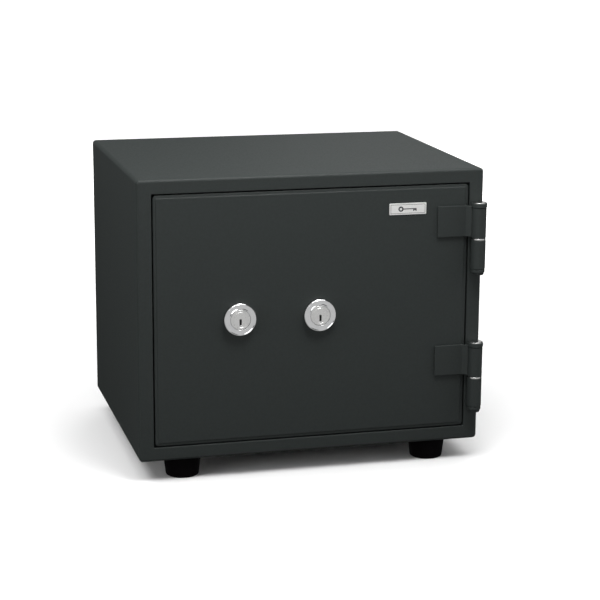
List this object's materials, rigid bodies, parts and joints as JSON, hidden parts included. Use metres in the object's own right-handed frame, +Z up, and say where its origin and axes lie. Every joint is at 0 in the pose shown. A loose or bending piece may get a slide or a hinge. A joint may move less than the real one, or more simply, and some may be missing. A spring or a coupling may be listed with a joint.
{
  "type": "fire-resistant key-lock safe",
  "caption": "Box-shaped fire-resistant safe with a side-hinged door, twin key locks that throw separate bolts, an inner shelf and rubber feet.",
  "frame": {"origin": "on the floor, under the middle of the overall box, with the door closed", "axes": "+X towards the hinge side, -Y towards the front, +Z up"},
  "size_m": [0.4131, 0.3434, 0.355],
  "materials": {
    "case_paint": "satin powder coat, dark green-grey",
    "liner_paint": "satin, warm light grey",
    "insulation": "matte, cast fire-resistant fill",
    "zinc_steel": "zinc plated",
    "bright_steel": "polished",
    "chrome": "polished chrome plating",
    "lock_brass": "satin nickel plating over brass",
    "rubber": "matte black",
    "label_metal": "satin, blank"
  },
  "bodies": {
    "cabinet": {"outer_case": "case_paint", "back_panel": "case_paint", "door_frame": "case_paint", "inner_liner": "liner_paint", "body_insulation": "insulation", "bolt_sockets": "zinc_steel", "dog_sockets": "zinc_steel", "shelf": "liner_paint", "shelf_rails": "liner_paint", "rail_rivets": "zinc_steel", "foot_front_left": "rubber", "foot_front_right": "rubber", "foot_rear_left": "rubber", "foot_rear_right": "rubber", "foot_washers": "zinc_steel", "foot_screws": "zinc_steel", "foot_nuts": "zinc_steel", "upper_frame_knuckle": "case_paint", "lower_frame_knuckle": "case_paint", "upper_hinge_pin": "bright_steel", "lower_hinge_pin": "bright_steel", "upper_hinge_washer": "bright_steel", "lower_hinge_washer": "bright_steel"},
    "door": {"door_skin": "case_paint", "lock_guard_plate": "zinc_steel", "door_insulation": "insulation", "lock_carrier_plate": "zinc_steel", "door_inner_pan": "liner_paint", "boltwork_cover": "liner_paint", "cover_screws": "zinc_steel", "door_seal": "rubber", "upper_hinge_leaf": "case_paint", "lower_hinge_leaf": "case_paint", "label_plate": "label_metal", "dog_bolts": "bright_steel", "guide_studs": "zinc_steel", "left_lock_housing": "chrome", "right_lock_housing": "chrome", "left_lock_nut": "zinc_steel", "right_lock_nut": "zinc_steel"},
    "left_plug": {"left_lock_plug": "lock_brass", "left_lock_cam": "zinc_steel", "left_cam_screw": "zinc_steel"},
    "right_plug": {"right_lock_plug": "lock_brass", "right_lock_cam": "zinc_steel", "right_cam_screw": "zinc_steel"},
    "upper_bolt_slide": {"upper_bolt_bar": "zinc_steel", "upper_bolt": "bright_steel"},
    "lower_bolt_slide": {"lower_bolt_bar": "zinc_steel", "lower_bolt": "bright_steel"}
  },
  "joints": [
    {"name": "door_swing", "type": "hinge", "parent": "cabinet", "child": "door", "pos_m": [0.198, -0.16265, 0.19], "axis": [0, 0, 1], "range_deg": [0, 180]},
    {"name": "left_plug_turn", "type": "hinge", "parent": "door", "child": "left_plug", "pos_m": [-0.088, -0.15325, 0.19], "axis": [0, -1, 0], "range_deg": [0, 90]},
    {"name": "upper_bolt_throw", "type": "slide", "parent": "door", "child": "upper_bolt_slide", "axis": [-1, 0, 0], "range_m": [0, 0.0184]},
    {"name": "right_plug_turn", "type": "hinge", "parent": "door", "child": "right_plug", "pos_m": [0.007, -0.15325, 0.19], "axis": [0, 1, 0], "range_deg": [0, 90]},
    {"name": "lower_bolt_throw", "type": "slide", "parent": "door", "child": "lower_bolt_slide", "axis": [-1, 0, 0], "range_m": [0, 0.0184]}
  ],
  "couplings": [
    {"joint": "left_plug_turn", "follows": "upper_bolt_throw", "rad_per_m": 85.36},
    {"joint": "right_plug_turn", "follows": "lower_bolt_throw", "rad_per_m": 85.36}
  ]
}
